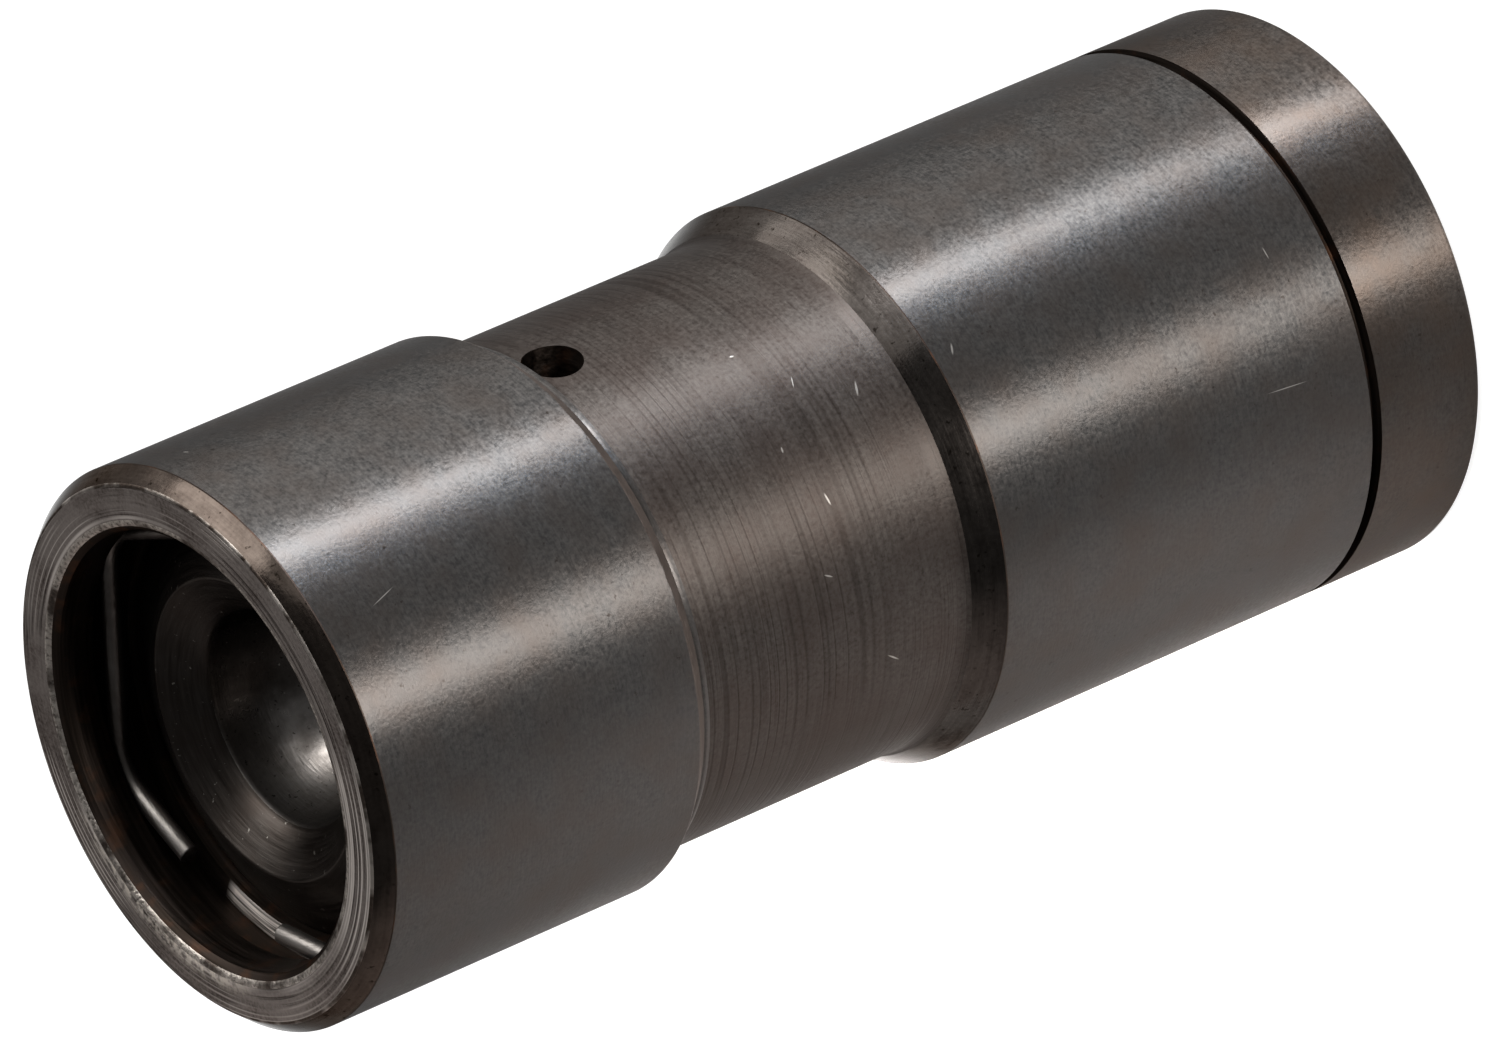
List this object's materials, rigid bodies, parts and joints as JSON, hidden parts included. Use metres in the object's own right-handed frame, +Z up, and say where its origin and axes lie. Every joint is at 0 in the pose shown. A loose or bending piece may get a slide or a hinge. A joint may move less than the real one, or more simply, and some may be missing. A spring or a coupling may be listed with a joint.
{
  "type": "mechanical valve lifter",
  "caption": "Solid flat-foot valve lifter: a turned steel body with an oiled pushrod seat held in its mouth by a wire clip.",
  "frame": {"origin": "centre of the foot's face, which rests on the floor or rides on the cam lobe", "axes": "+Z up the lifter's axis from the foot to the mouth; the oil hole faces -Y"},
  "size_m": [0.0214, 0.0214, 0.0508],
  "materials": {
    "body_steel": "ground lands, turned waist, phosphated dark shoulders",
    "seat_steel": "dark hardened steel, satin",
    "clip_steel": "drawn spring wire, satin",
    "disc_steel": "stamped sheet steel, satin"
  },
  "bodies": {
    "body": {"lifter_body": "body_steel", "retaining_clip": "clip_steel"},
    "seat": {"pushrod_seat": "seat_steel"},
    "disc": {"metering_disc": "disc_steel"}
  },
  "joints": [
    {"name": "seat_lift", "type": "slide", "parent": "body", "child": "seat", "axis": [0, 0, 1], "range_m": [0, 0.00077]},
    {"name": "disc_lift", "type": "slide", "parent": "body", "child": "disc", "axis": [0, 0, 1], "range_m": [0, 0.0004]}
  ]
}
